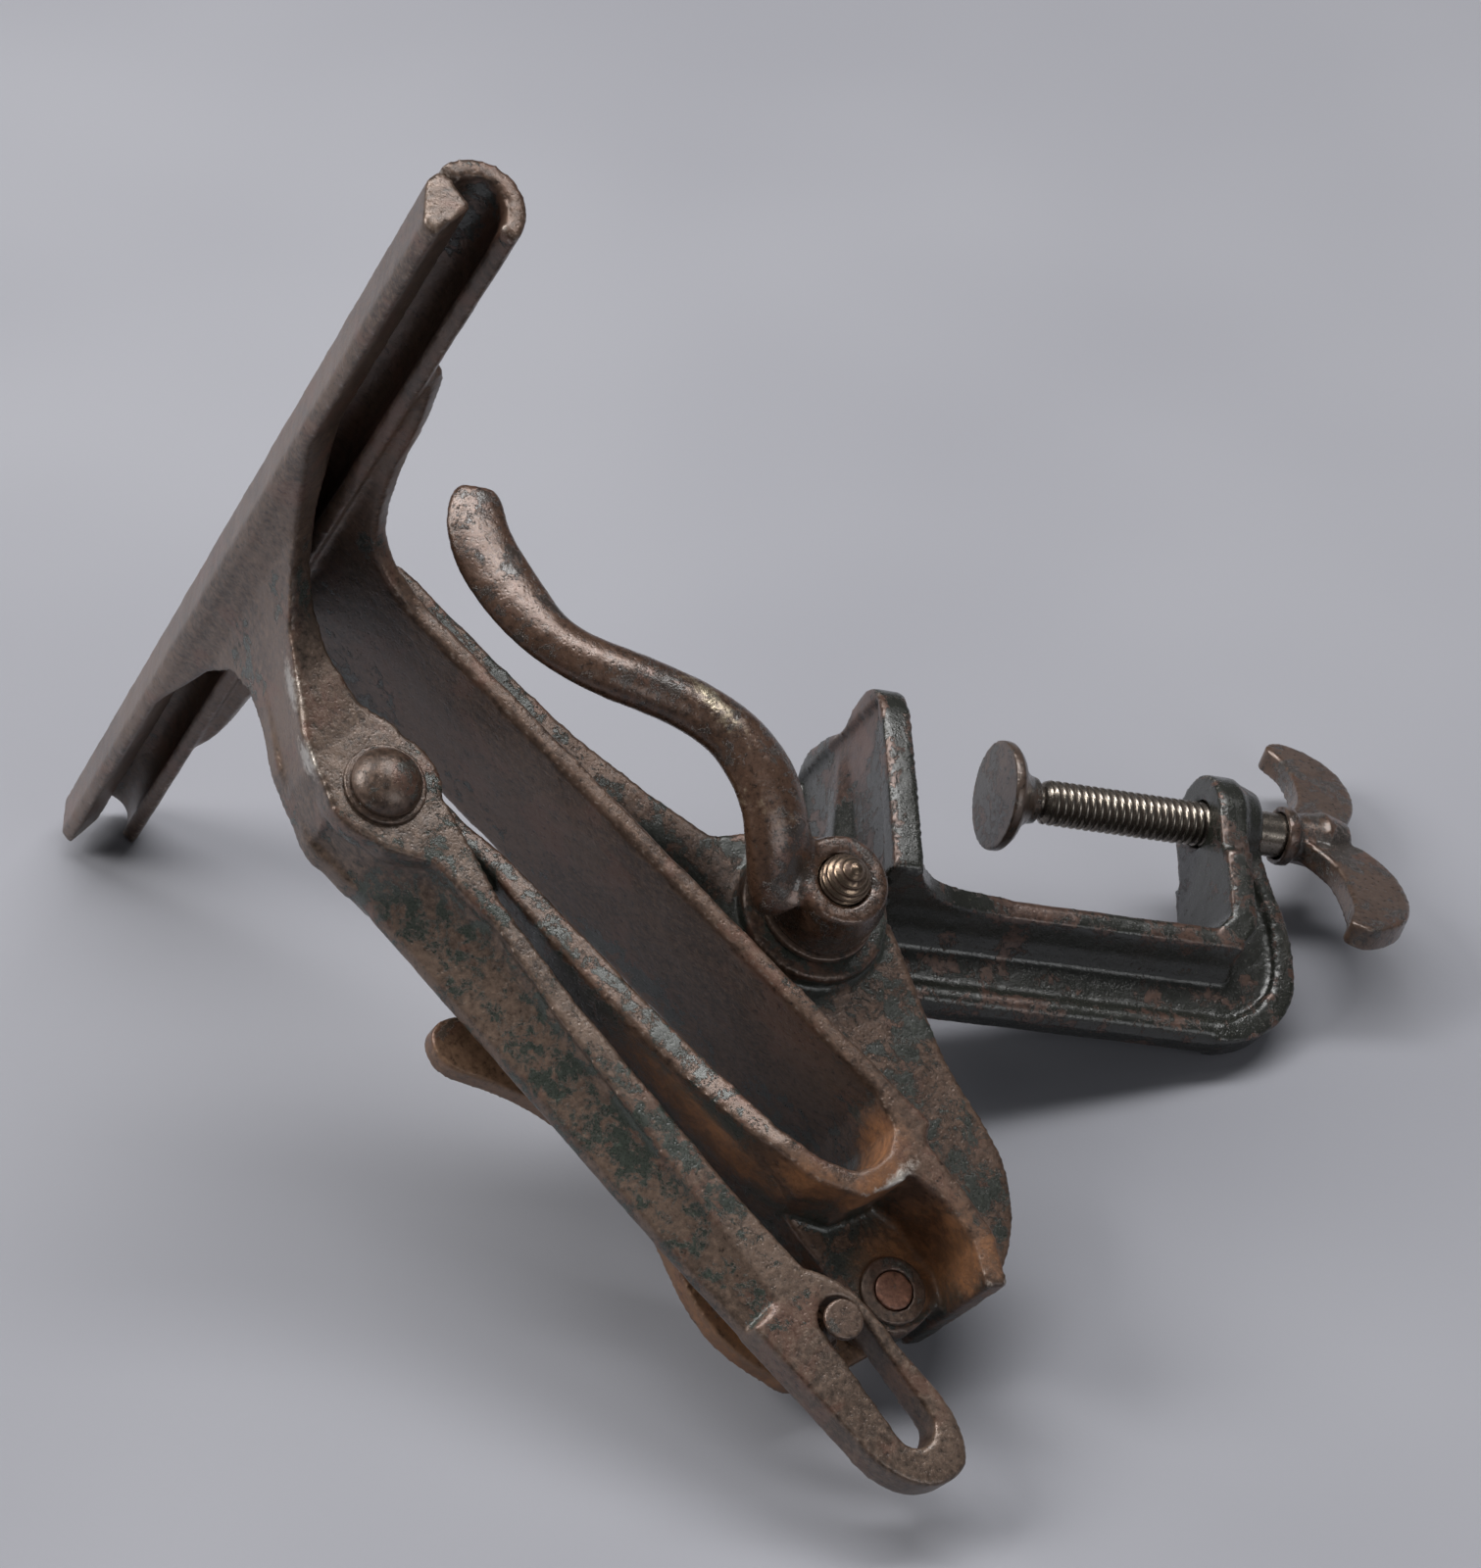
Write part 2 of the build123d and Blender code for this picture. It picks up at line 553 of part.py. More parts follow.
    # the inner flange flares out to the bench plate
    with BuildSketch(Plane(
        origin=spine_start.from_local_coords((8.6, 0, 0)), x_dir=(1, 0, 0), z_dir=spine_start.x_dir,
    )):
        for direction, reach in [(-1, PLATE_FAR), (1, FLARE_NEAR)]:
            with BuildLine():
                flare = Spline(*[
                    (direction * (12.0 + share * (reach - 12.0)), down)
                    for share, down in [(0, 46.0), (0.06, 38.0), (0.20, 31.0), (0.46, 26.0), (1, -BENCH_FACE)]
                ])
                Polyline(flare @ 1, (direction * reach, 17.0), (0, 17.0), (0, 46.0), flare @ 0)
            make_face()
    extrude(amount=4.4)
    # bores for the stud and the screw
    with BuildSketch(clamp_plane(EAR_FAR - 1)):
        Circle(STUD_RADIUS)
    extrude(amount=EAR_NEAR - EAR_FAR + 2, mode=Mode.SUBTRACT)
    with BuildSketch(screw_plane(LUG_TOP + 2)):
        Circle(SCREW_RADIUS + RUNNING)
    extrude(amount=LUG_TOP - LUG_FOOT + 8, mode=Mode.SUBTRACT)

# ---------------------------------------------------------------- screw, pad and wing handle
SCREW_TOP = -59.4
COLLAR = -112.4

with BuildPart() as clamp_screw:
    for start, end, radius in [
        (-53.2, -56.2, 3.2), (-56.2, SCREW_TOP, 2.6), (SCREW_TOP, -115.0, SCREW_RADIUS),
    ]:
        with BuildSketch(screw_plane(start)):
            Circle(radius)
        extrude(amount=start - end)

with BuildPart() as swivel_pad:
    with BuildSketch(Plane.XZ):
        with BuildLine():
            Polyline((0, 0), (PAD_RADIUS, 0), (PAD_RADIUS, 1.8), (9.8, 3.0), (6.6, 4.8),
                     (4.9, 6.8), (4.6, 8.6), (2.9, 8.6), (2.9, 7.0), (3.5, 7.0), (3.5, 3.4), (0, 3.4), (0, 0))
        make_face()
    revolve(axis=Axis.Z)

WING = [  # outline of one wing: distance from the screw axis, distance out from the collar
    (-4.0, 3.0), (-7.0, 5.2), (-12.0, 7.6), (-17.0, 8.0), (-24.0, 7.2), (-30.0, 5.2), (-33.4, 3.6),
    (-35.4, 6.0), (-34.6, 11.0), (-31.4, 16.0), (-26.0, 19.6), (-18.0, 21.2), (-10.0, 20.0),
    (-4.0, 16.0),
]
BENT_WING = [  # the other wing stands a little further out
    (4.0, 3.0), (7.0, 5.4), (12.0, 8.4), (17.0, 9.8), (23.0, 10.4), (28.4, 9.4), (31.6, 8.2),
    (33.8, 10.4), (33.4, 14.8), (30.6, 18.8), (25.6, 21.8), (18.0, 22.6), (10.0, 20.6),
    (4.0, 16.0),
]

with BuildPart() as wing_handle:
    with BuildSketch(Plane.XZ.offset(-WING_THICK / 2)):
        with BuildLine():
            Spline(*WING)
            Line(WING[-1], WING[0])
        make_face()
        with BuildLine():
            Spline(*BENT_WING)
            Line(BENT_WING[-1], BENT_WING[0])
        make_face()
    extrude(amount=WING_THICK)
    for start, end, radius, lean in [(0.0, 2.6, 6.0, 0), (2.6, 9.0, 5.0, -6), (9.0, 15.0, 6.2, 16)]:
        with BuildSketch(Plane.XY.offset(start)):
            Circle(radius)
        extrude(amount=end - start, taper=lean)
    with BuildSketch(Plane.XY.offset(-1)):
        Circle(SCREW_RADIUS)
    extrude(amount=3.6, mode=Mode.SUBTRACT)

# ---------------------------------------------------------------- at rest, on its side
resting = (
    Location(SEAT) * Location((0, 0, 0), (ROLLED_BACK, 0, 0)) * Location((0, 0, 0), (0, -TIPPED_OVER, 0))
)
pad_place = screw_plane(PAD_FACE)
wing_place = screw_plane(COLLAR)
pieces = {
    "frame_casting": frame_casting.part,
    "moving_jaw": moving_jaw.part,
    "jaw_rivet": jaw_rivet.part,
    "jaw_rivet_washer": jaw_rivet_washer.part,
    "cam_lever": cam_lever.part,
    "lever_rivet": lever_rivet.part,
    "lever_washer": lever_washer.part,
    "crank_pin": crank_pin.part,
    "swivel_stud": swivel_stud.part,
    "stud_washer": stud_washer.part,
    "handle_nut": handle_nut.part,
    "clamp_bracket": clamp_bracket.part,
    "clamp_screw": clamp_screw.part,
    "swivel_pad": pad_place.location * swivel_pad.part,
    "wing_handle": wing_place.location * Rotation(0, 0, WING_TURN) * wing_handle.part,
}
os.makedirs("parts", exist_ok=True)
for label, piece in pieces.items():
    piece = resting * piece
    piece.label = label
    export_step(piece, f"parts/{label}.step")
    print(label, len(piece.solids()), round(piece.volume), piece.is_valid)
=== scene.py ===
import math

import bmesh
import bpy
import numpy as np
from mathutils import Matrix, Vector, noise


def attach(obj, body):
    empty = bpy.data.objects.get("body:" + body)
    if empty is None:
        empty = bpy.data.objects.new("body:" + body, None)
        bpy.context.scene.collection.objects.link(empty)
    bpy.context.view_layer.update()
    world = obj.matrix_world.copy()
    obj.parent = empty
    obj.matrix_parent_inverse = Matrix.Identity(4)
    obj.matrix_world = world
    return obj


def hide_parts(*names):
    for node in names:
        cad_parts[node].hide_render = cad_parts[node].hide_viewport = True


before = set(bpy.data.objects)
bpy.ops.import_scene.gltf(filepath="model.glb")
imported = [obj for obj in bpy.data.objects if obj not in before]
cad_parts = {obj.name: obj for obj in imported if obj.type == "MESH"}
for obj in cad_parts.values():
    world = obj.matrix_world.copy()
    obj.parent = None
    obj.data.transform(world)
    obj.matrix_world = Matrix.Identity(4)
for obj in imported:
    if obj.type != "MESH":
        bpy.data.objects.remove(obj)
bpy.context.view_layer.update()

MM = 0.001

# Places are given on the upright vise, in millimetres: X along the jaws, Y front to back and Z up
# from under the throat. The vise lies on its left side, and UPRIGHT takes a point to where it lies.
SEAT = Vector((84.456, -62.220, 30.370))  # where the upright origin lies, millimetres
NOD = math.radians(4.605)                 # turn about X, after the lean
LEAN = math.radians(-59.178)              # turn about Y
UPRIGHT = (
    Matrix.Translation(SEAT * MM)
    @ Matrix.Rotation(NOD, 4, "X")
    @ Matrix.Rotation(LEAN, 4, "Y")
)
TO_UPRIGHT = UPRIGHT.inverted()
STUD = (28.4, 45.2)              # Y and Z of the swivel axis
CLAMP_LEAN = math.radians(42.5)  # the screw's lean from upright
SCREW_X = -19.0                  # X of the screw
SCREW_OFFSET = 40.0              # from the swivel axis across to the screw


def lying(x, y, z):
    """A point of the upright vise, in millimetres, where it lies, in metres."""
    return UPRIGHT @ (Vector((x, y, z)) * MM)


ALONG = (lying(1, 0, 0) - lying(0, 0, 0)).normalized()  # upright X, which is the swivel's axis


def clamp_point(x, up, across):
    """A point of the clamp, from X and from how far it is up the screw's direction and across it,
    both from the swivel axis, in millimetres."""
    sine, cosine = math.sin(CLAMP_LEAN), math.cos(CLAMP_LEAN)
    return lying(
        x,
        STUD[0] - sine * up + cosine * across,
        STUD[1] + cosine * up + sine * across,
    )


# ---------------------------------------------------------------- cast pieces
def link(name, mesh):
    """A new object in the scene with this mesh."""
    piece = bpy.data.objects.new(name, mesh)
    bpy.context.scene.collection.objects.link(piece)
    return piece


def settle(piece):
    """Applies the piece's modifiers."""
    graph = bpy.context.evaluated_depsgraph_get()
    mesh = bpy.data.meshes.new_from_object(piece.evaluated_get(graph))
    piece.modifiers.clear()
    old = piece.data
    piece.data = mesh
    bpy.data.meshes.remove(old)


def read(mesh, attribute):
    """The co or normal of each vertex, one row each."""
    values = np.zeros(len(mesh.vertices) * 3, np.float64)
    mesh.vertices.foreach_get(attribute, values)
    return values.reshape(-1, 3)


def neighbour_mean(points, edges, count):
    """The mean of each vertex's neighbours."""
    total = np.zeros_like(points)
    np.add.at(total, edges[:, 0], points[edges[:, 1]])
    np.add.at(total, edges[:, 1], points[edges[:, 0]])
    return total / count[:, None]


MELT_SHARE = 0.5                  # how far a round moves a vertex to its neighbours' mean
CALM_ROUNDS, CALM_SHARE = 3, 0.6  # and how the curvature itself is evened out


def curvature(mesh, rounds):
    """How far each vertex stands out of (+) or lies in (-) its smoothed surroundings, in metres.
    More rounds take in wider surroundings."""
    edges = np.zeros(len(mesh.edges) * 2, np.int64)
    mesh.edges.foreach_get("vertices", edges)
    edges = edges.reshape(-1, 2)
    count = np.maximum(np.bincount(edges.reshape(-1), minlength=len(mesh.vertices)), 1)
    start = read(mesh, "co")
    points = start
    for _ in range(rounds):
        mean = neighbour_mean(points, edges, count)
        points = (1 - MELT_SHARE) * points + MELT_SHARE * mean
    height = ((start - points) * read(mesh, "normal")).sum(axis=1)[:, None]
    for _ in range(CALM_ROUNDS):
        height = (1 - CALM_SHARE) * height + CALM_SHARE * neighbour_mean(height, edges, count)
    return height[:, 0]


def store(mesh, name, values):
    """Keeps one number for each vertex, which materials read by name."""
    layer = mesh.attributes.get(name) or mesh.attributes.new(name, "FLOAT", "POINT")
    layer.data.foreach_set("value", np.asarray(values, np.float32))


BLOB_FALL = 1.2  # how fast a blob fades past its radius


def blobs(mesh, places):
    """A 0 to 1 mask that is high near upright places: (x, y, z, radius x, y, z) in millimetres."""
    turn = np.array(TO_UPRIGHT)
    upright = (read(mesh, "co") @ turn[:3, :3].T + turn[:3, 3]) / MM
    mask = np.zeros(len(upright))
    for x, y, z, rx, ry, rz in places:
        distance = (
            ((upright[:, 0] - x) / rx) ** 2 + ((upright[:, 1] - y) / ry) ** 2
            + ((upright[:, 2] - z) / rz) ** 2
        )
        mask = np.maximum(mask, np.exp(-BLOB_FALL * distance))
    return mask


WAVES = ((0.7, 110), (0.3, 420))  # share and scale of the broad and the fine unevenness


def uneven(mesh, amount):
    """Moves the skin in and out by about this many millimetres, as sand casting leaves it."""
    points = read(mesh, "co")
    height = np.array([
        sum(share * noise.noise(Vector(p) * scale) for share, scale in WAVES) for p in points
    ])
    points += read(mesh, "normal") * (height * amount * MM)[:, None]
    mesh.vertices.foreach_set("co", points.reshape(-1))
    mesh.update()


WELD = 1e-6      # closer vertices become one, metres
CUT_SNAP = 1e-7  # closer vertices lie on the cut, metres


def clip(mesh, limit):
    """Cuts off what lies beyond an upright X, in millimetres, and closes the cut."""
    cut = bmesh.new()
    cut.from_mesh(mesh)
    result = bmesh.ops.bisect_plane(
        cut, geom=cut.verts[:] + cut.edges[:] + cut.faces[:], dist=CUT_SNAP,
        plane_co=lying(limit, 0, 0), plane_no=ALONG, clear_outer=True)
    edges = [e for e in result["geom_cut"] if isinstance(e, bmesh.types.BMEdge)]
    bmesh.ops.holes_fill(cut, edges=edges, sides=0)
    cut.to_mesh(mesh)
    cut.free()


EDGE_ROUNDS, EDGE_HEIGHT = 14, 0.22  # surroundings and height, in mm, of a broad worn edge
RIM_ROUNDS, RIM_HEIGHT = 5, 0.055    # and of a fine line along it


def cast(node, body, voxel, rounds, rough=0.16, bright=(), rusty=(), bare=(), limit=None):
    """A cast piece made from the CAD node: edges rounded, skin uneven, and masks for its finish.
    voxel is in millimetres, and rounds of smoothing set how round the edges are. bright, rusty and
    bare are places for blobs: bright for painted highlights, partly rubbed metal, rusty for rust
    and bare for lost japanning. limit is the X where the piece is cut off."""
    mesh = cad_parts[node].data.copy()
    mesh.materials.clear()
    weld = bmesh.new()
    weld.from_mesh(mesh)
    bmesh.ops.remove_doubles(weld, verts=weld.verts, dist=WELD)
    weld.to_mesh(mesh)
    weld.free()
    piece = link(node + "_skin", mesh)
    skin = piece.modifiers.new("skin", "REMESH")
    skin.mode = "VOXEL"
    skin.voxel_size = voxel * MM
    soft = piece.modifiers.new("soft", "SMOOTH")
    soft.factor = 0.5
    soft.iterations = rounds
    settle(piece)
    mesh = piece.data
    if limit is not None:
        clip(mesh, limit)
    store(mesh, "edge", curvature(mesh, EDGE_ROUNDS) / (EDGE_HEIGHT * MM))
    store(mesh, "rim", curvature(mesh, RIM_ROUNDS) / (RIM_HEIGHT * MM))
    # the bright places keep where highlights are painted, partly on rubbed metal
    for name, places in (("bright", bright), ("rusty", rusty), ("bare", bare)):
        store(mesh, name, blobs(mesh, places))
    uneven(mesh, rough)
    mesh.shade_smooth()
    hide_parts(node)
    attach(piece, body)
    return piece


# ---------------------------------------------------------------- turned pieces
AROUND = 96             # vertices in a ring
ROW = 0.16              # from ring to ring, millimetres
SHOULDER = 0.02         # a second ring this far past each station keeps its corner, millimetres
THREAD_FADE = 1.2       # over which a thread runs out, millimetres
THREAD_SHARPNESS = 1.5  # makes crests broader than roots
TIP_RADIUS = 0.02       # the least radius, millimetres
CREST_ROUNDS, CREST_HEIGHT = 6, 0.06  # surroundings and height, in mm, of a thread's crest


def turned(name, origin, axis, stations, thread):
    """A threaded piece along axis from origin. stations are (distance, radius) in millimetres, and
    thread is (from, to, depth, pitch)."""
    z = axis.normalized()
    x = z.orthogonal().normalized()
    y = z.cross(x)
    places = [s for s, _ in stations]
    radii = [r for _, r in stations]
    rows = int((places[-1] - places[0]) / ROW)
    along = np.linspace(places[0], places[-1], rows + 1)
    shoulders = np.array(places[1:-1]) + SHOULDER
    along = np.unique(np.concatenate([along, np.array(places), shoulders]))
    turn = np.linspace(0, math.tau, AROUND, endpoint=False)
    radius = np.interp(along, places, radii)[:, None] * np.ones((1, AROUND))
    start, end, depth, pitch = thread
    wave = 0.5 - 0.5 * np.cos(math.tau * (along[:, None] / pitch - turn[None, :] / math.tau))
    run_in = np.clip((along - start) / THREAD_FADE, 0, 1)
    run_out = np.clip((end - along) / THREAD_FADE, 0, 1)
    radius = radius - depth * (wave ** THREAD_SHARPNESS) * (run_in * run_out)[:, None]
    radius = np.maximum(radius, TIP_RADIUS)
    grid = [
        origin + (z * s + (x * math.cos(a) + y * math.sin(a)) * radius[i, j]) * MM
        for i, s in enumerate(along) for j, a in enumerate(turn)
    ]
    faces = [
        (i * AROUND + j, i * AROUND + (j + 1) % AROUND, (i + 1) * AROUND + (j + 1) % AROUND,
         (i + 1) * AROUND + j)
        for i in range(len(along) - 1) for j in range(AROUND)
    ]
    last = (len(along) - 1) * AROUND
    faces.append(tuple(reversed(range(AROUND))))
    faces.append(tuple(last + j for j in range(AROUND)))
    mesh = bpy.data.meshes.new(name)
    mesh.from_pydata([tuple(p) for p in grid], [], faces)
    mesh.update()
    store(mesh, "edge", curvature(mesh, CREST_ROUNDS) / (CREST_HEIGHT * MM))
    mesh.shade_smooth()
    return link(name, mesh)


# ---------------------------------------------------------------- materials
class Nodes:
    """Short calls for building a node tree."""

    def __init__(self, name):
        self.material = bpy.data.materials.new(name)
        self.material.use_nodes = True
        self.tree = self.material.node_tree
        self.tree.nodes.clear()
        output = self.tree.nodes.new("ShaderNodeOutputMaterial")
        self.shader = self.tree.nodes.new("ShaderNodeBsdfPrincipled")
        self.join(self.shader.outputs[0], output.inputs[0])
        self.place = self.tree.nodes.new("ShaderNodeTexCoord").outputs["Object"]

    def join(self, source, target):
        self.tree.links.new(source, target)

    def put(self, value, target):
        """Links a socket, or sets a plain value."""
        if isinstance(value, bpy.types.NodeSocket):
            self.join(value, target)
        else:
            target.default_value = value

    def noise(self, scale, detail, roughness, warp=0.0):
        """A noise pattern, with scale in repeats to the metre."""
        node = self.tree.nodes.new("ShaderNodeTexNoise")
        node.inputs["Scale"].default_value = scale
        node.inputs["Detail"].default_value = detail
        node.inputs["Roughness"].default_value = roughness
        node.inputs["Distortion"].default_value = warp
        self.join(self.place, node.inputs["Vector"])
        return node.outputs["Fac"]

    def cells(self, scale):
        """Distance to the nearest point of a cell pattern, with scale as in noise."""
        node = self.tree.nodes.new("ShaderNodeTexVoronoi")
        node.inputs["Scale"].default_value = scale
        self.join(self.place, node.inputs["Vector"])
        return node.outputs["Distance"]

    def mask(self, name):
        """What store kept on the mesh under this name."""
        node = self.tree.nodes.new("ShaderNodeAttribute")
        node.attribute_name = name
        return node.outputs["Fac"]

    def math(self, kind, a, b, clamp=False):
        node = self.tree.nodes.new("ShaderNodeMath")
        node.operation = kind
        node.use_clamp = clamp
        self.put(a, node.inputs[0])
        self.put(b, node.inputs[1])
        return node.outputs[0]

    def plus(self, a, b, clamp=False):
        return self.math("ADD", a, b, clamp)

    def minus(self, a, b):
        return self.math("SUBTRACT", a, b)

    def times(self, a, b, clamp=False):
        return self.math("MULTIPLY", a, b, clamp)

    def ramp(self, value, low, high):
        """0 below low and 1 above high, or the other way round where low is above high."""
        node = self.tree.nodes.new("ShaderNodeMapRange")
        node.clamp = True
        node.interpolation_type = "SMOOTHSTEP"
        self.put(value, node.inputs[0])
        node.inputs[1].default_value = low
        node.inputs[2].default_value = high
        return node.outputs[0]

    def mix(self, share, a, b, kind="RGBA"):
        """a where share is 0 and b where it is 1."""
        node = self.tree.nodes.new("ShaderNodeMix")
        node.data_type = kind
        sockets = {"RGBA": (6, 7, 2), "FLOAT": (2, 3, 0)}[kind]
        self.put(share, node.inputs[0])
        self.put(a, node.inputs[sockets[0]])
        self.put(b, node.inputs[sockets[1]])
        return node.outputs[sockets[2]]

    def bump(self, height, distance, strength, under=None):
        """A rough surface from a height, with distance in millimetres, over another bump."""
        node = self.tree.nodes.new("ShaderNodeBump")
        node.inputs["Strength"].default_value = strength
        node.inputs["Distance"].default_value = distance * MM
        self.join(height, node.inputs["Height"])
        if under is not None:
            self.join(under, node.inputs["Normal"])
        return node.outputs[0]


RUST = (0.26, 0.105, 0.035, 1)
RUST_ROUGHNESS = 0.80
RED = (0.150, 0.070, 0.048, 1)  # the reddish clouds in brown metal
DUST = (0.46, 0.40, 0.30, 1)
OIL_ROUGHNESS, OIL_IOR = 0.24, 1.55
BROWN_METALLIC, JAPAN_METALLIC, WORN_METALLIC = 0.42, 0.10, 0.95
EDGE_LOSS, BARE_LOSS = 0.040, 0.30  # japanning lost on edges and where bare is marked
ISLAND_EDGE = 0.008                 # softness of the outline of an island of japanning
SKIN_DEPTH, PIT_DEPTH = 0.13, 0.06  # millimetres


def tinted(colour, factor):
    """A colour made lighter or darker."""
    return tuple(min(1, factor * c) for c in colour[:3]) + (1,)


def iron(name, brown, dark, paint, wear, gloss, seed=0.0, shine=(0.62, 0.59, 0.54, 1), speckle=1.0,
         island=190.0, oil=0.25):
    """Old cast iron: brown metal, ragged islands of dark japanning, rust, bright edges rubbed bare,
    and painted highlights of bright metal where bright places are marked.
    paint is the share that is still japanned and island how fine its islands are, wear how much the
    edges shine and shine in what colour, gloss the roughness, speckle how dusty and oil how wet it
    looks. seed keeps one piece's pattern from matching another's."""
    n = Nodes(name)
    edge, rim, bright = n.mask("edge"), n.mask("rim"), n.mask("bright")
    rusty, bare = n.mask("rusty"), n.mask("bare")
    broad = n.noise(34 + seed, 3, 0.55)
    patch = n.noise(island + seed, 12, 0.80, warp=0.3)
    cloud = n.noise(75 + seed, 5, 0.6, warp=0.6)
    fine = n.noise(820 + seed, 6, 0.7)
    grain = n.noise(2600 + seed, 3, 0.65)
    pits = n.cells(900 + seed)

    # brown metal, mottled, with reddish clouds
    tone = n.mix(n.ramp(broad, 0.35, 0.65), tinted(brown, 1.15), tinted(brown, 0.62))
    tone = n.mix(n.times(n.ramp(cloud, 0.50, 0.62), 0.55), tone, RED)
    tone = n.mix(n.ramp(fine, 0.42, 0.72), tone, tinted(brown, 1.6))
    tone = n.mix(n.ramp(fine, 0.46, 0.30), tone, tinted(brown, 0.30))

    # japanning that is left in ragged islands, more in hollows and less on edges
    left = n.plus(n.times(patch, 0.66), n.times(cloud, 0.34))
    left = n.minus(left, n.times(edge, EDGE_LOSS))
    left = n.minus(left, n.times(bare, BARE_LOSS))
    level = 0.5 + 0.24 * (0.5 - paint)
    painted = n.ramp(left, level - ISLAND_EDGE, level + ISLAND_EDGE)
    lip = n.times(n.ramp(left, level - 0.030, level - 0.006),
                  n.ramp(left, level + 0.004, level - 0.004))
    japan = n.mix(n.ramp(grain, 0.3, 0.7), dark, tinted(dark, 2.0))
    japan = n.mix(n.ramp(fine, 0.56, 0.68), japan, tinted(dark, 3.2))
    colour = n.mix(painted, n.mix(n.times(lip, 0.6), tone, tinted(brown, 0.35)), japan)

    # rust in hollows and where it is marked
    decay = n.plus(n.times(rusty, 0.80), n.times(fine, 0.42))
    decay = n.ramp(n.minus(decay, n.times(edge, 0.07)), 0.40, 0.85)
    orange = n.mix(n.ramp(patch, 0.4, 0.6), RUST, tinted(RUST, 0.50))
    colour = n.mix(n.times(decay, 0.9), colour, orange)

    # bright metal on rubbed edges, and painted highlights of bright metal at the bright places,
    # which are partly rubbed metal too
    line = n.times(n.ramp(rim, 0.8, 3.0), 0.62 * wear)
    wear_and_highlight = n.math("MAXIMUM", n.times(n.ramp(edge, 1.0, 3.2), 0.45 * wear), line)
    # the bright places add painted highlights here, partly bright rubbed metal
    wear_and_highlight = n.plus(wear_and_highlight, bright)
    wear_and_highlight = n.plus(wear_and_highlight, n.times(n.minus(fine, 0.52), 1.7))
    wear_and_highlight = n.times(n.ramp(wear_and_highlight, 0.30, 1.05), 0.8, clamp=True)
    colour = n.mix(wear_and_highlight, colour, shine)

    # light specks of dust and scale
    specks = n.times(n.ramp(grain, 0.68, 0.76), 0.22 * speckle)
    colour = n.mix(specks, colour, DUST)
    n.join(colour, n.shader.inputs["Base Color"])

    rough = n.mix(painted, gloss + 0.06, gloss - 0.04, "FLOAT")
    rough = n.mix(decay, rough, RUST_ROUGHNESS, "FLOAT")
    rough = n.mix(wear_and_highlight, rough, gloss - 0.06, "FLOAT")
    rough = n.plus(rough, n.times(n.minus(fine, 0.5), 0.30))
    rough = n.plus(rough, n.times(n.minus(grain, 0.5), 0.15), clamp=True)
    n.join(rough, n.shader.inputs["Roughness"])
    metal = n.mix(painted, BROWN_METALLIC, JAPAN_METALLIC, "FLOAT")
    metal = n.mix(decay, metal, 0.0, "FLOAT")
    metal = n.mix(wear_and_highlight, metal, WORN_METALLIC, "FLOAT")
    n.join(metal, n.shader.inputs["Metallic"])
    n.shader.inputs["Coat Weight"].default_value = oil
    n.shader.inputs["Coat Roughness"].default_value = OIL_ROUGHNESS
    n.shader.inputs["Coat IOR"].default_value = OIL_IOR

    height = n.plus(n.times(painted, 0.55), fine)
    skin = n.bump(n.plus(height, n.times(grain, 0.35)), SKIN_DEPTH, 0.65)
    skin = n.bump(n.ramp(pits, 0.05, 0.35), PIT_DEPTH, 0.55, under=skin)
    n.join(skin, n.shader.inputs["Normal"])
    n.join(skin, n.shader.inputs["Coat Normal"])
    return n.material


SCALE = (0.36, 0.31, 0.25, 1)
STEEL_GRAIN = 0.04  # depth, millimetres


def steel(name, colour, dark, gloss, hollow_darkening, seed=0.0):
    """Turned steel with bright crests and a darker colour in the hollows between them."""
    n = Nodes(name)
    edge = n.mask("edge")
    fine = n.noise(700 + seed, 5, 0.65)
    grain = n.noise(2400 + seed, 3, 0.6)
    reach = 0.25 * hollow_darkening
    # a darker colour in the thread's hollows, found from curvature, with blotches from noise
    low = n.ramp(n.minus(fine, n.times(edge, 0.22)), 0.62 - reach, 0.80 - reach)
    tone = n.mix(low, colour, dark)
    tone = n.mix(n.times(n.ramp(grain, 0.62, 0.75), 0.35), tone, SCALE)
    n.join(tone, n.shader.inputs["Base Color"])
    n.join(n.mix(low, gloss, gloss + 0.25, "FLOAT"), n.shader.inputs["Roughness"])
    n.join(n.mix(low, 0.95, 0.55, "FLOAT"), n.shader.inputs["Metallic"])
    n.join(n.bump(n.plus(fine, grain), STEEL_GRAIN, 0.5), n.shader.inputs["Normal"])
    return n.material


def dress(piece, material):
    """Gives the piece this one material."""
    piece.data.materials.clear()
    piece.data.materials.append(material)


# ---------------------------------------------------------------- the frame and its rivets
body_iron = iron("old_iron_frame", (0.088, 0.053, 0.036, 1), (0.017, 0.019, 0.015, 1), paint=0.50,
                 wear=0.8, gloss=0.35)
dress(cast(
    "frame_casting", "frame", voxel=0.62, rounds=7,
    # bright place: a painted highlight, partly rubbed metal
    bright=[(20, -8, 1, 3, 8, 2)],
    rusty=[(8, -9, -12, 18, 14, 12), (12, -3, 9, 12, 7, 9), (16, -11, 3, 8, 12, 5),
           (6, -22, 30, 7, 4, 40), (14, -3, -20, 10, 10, 8), (16, -20, 8, 8, 6, 14)],
    bare=[(19, -10, 4, 6, 14, 12), (0, 2, 158, 130, 8, 8), (10, 2, 85, 18, 4, 62)],
), body_iron)

